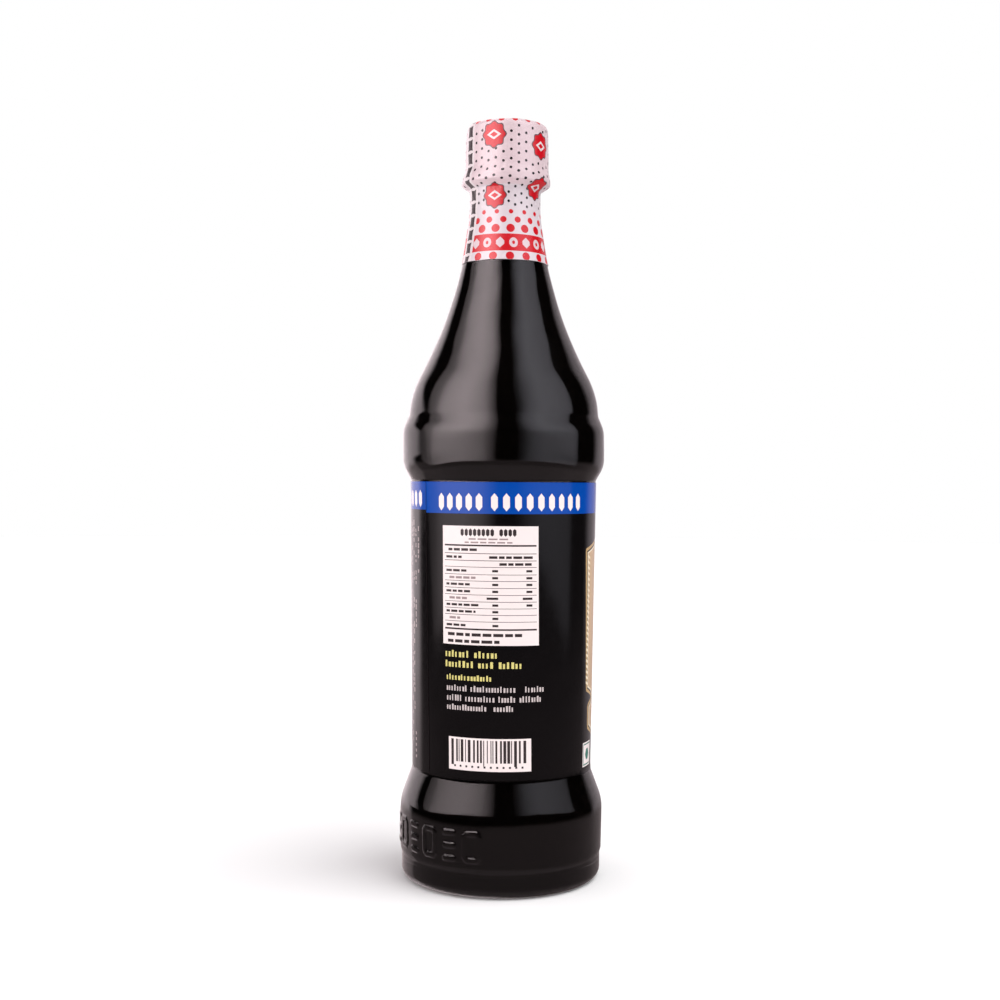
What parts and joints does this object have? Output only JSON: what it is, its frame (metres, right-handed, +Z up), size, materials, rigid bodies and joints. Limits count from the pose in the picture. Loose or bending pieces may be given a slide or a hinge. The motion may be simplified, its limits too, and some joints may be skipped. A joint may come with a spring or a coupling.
{
  "type": "soy sauce bottle",
  "caption": "Tall round glass bottle of dark sauce with a stepped foot, a recessed wrap label, a raised ring above it, a long neck, a screw cap and a shrunk film capsule over cap and neck.",
  "frame": {"origin": "centre of the circle that the bottle stands on, at the height of its standing ring", "axes": "+Z is up along the bottle's axis of symmetry; -Y faces the side of the label with the white panel; +X is to the right of that side"},
  "size_m": [0.0788, 0.0788, 0.292],
  "materials": {
    "glass": "clear moulded bottle glass, fire-polished",
    "sauce": "stands for a liquid: dark brown soy sauce, nearly black in this thickness",
    "cap": "moulded red plastic, satin",
    "film": "whitish shrink film with small black dots, red dots and a red band",
    "label": "coated paper, black with a blue band and plain light panels"
  },
  "bodies": {
    "root": {"bottle": "glass", "sauce": "sauce", "cap": "cap", "sleeve": "film", "label": "label"}
  },
  "joints": []
}
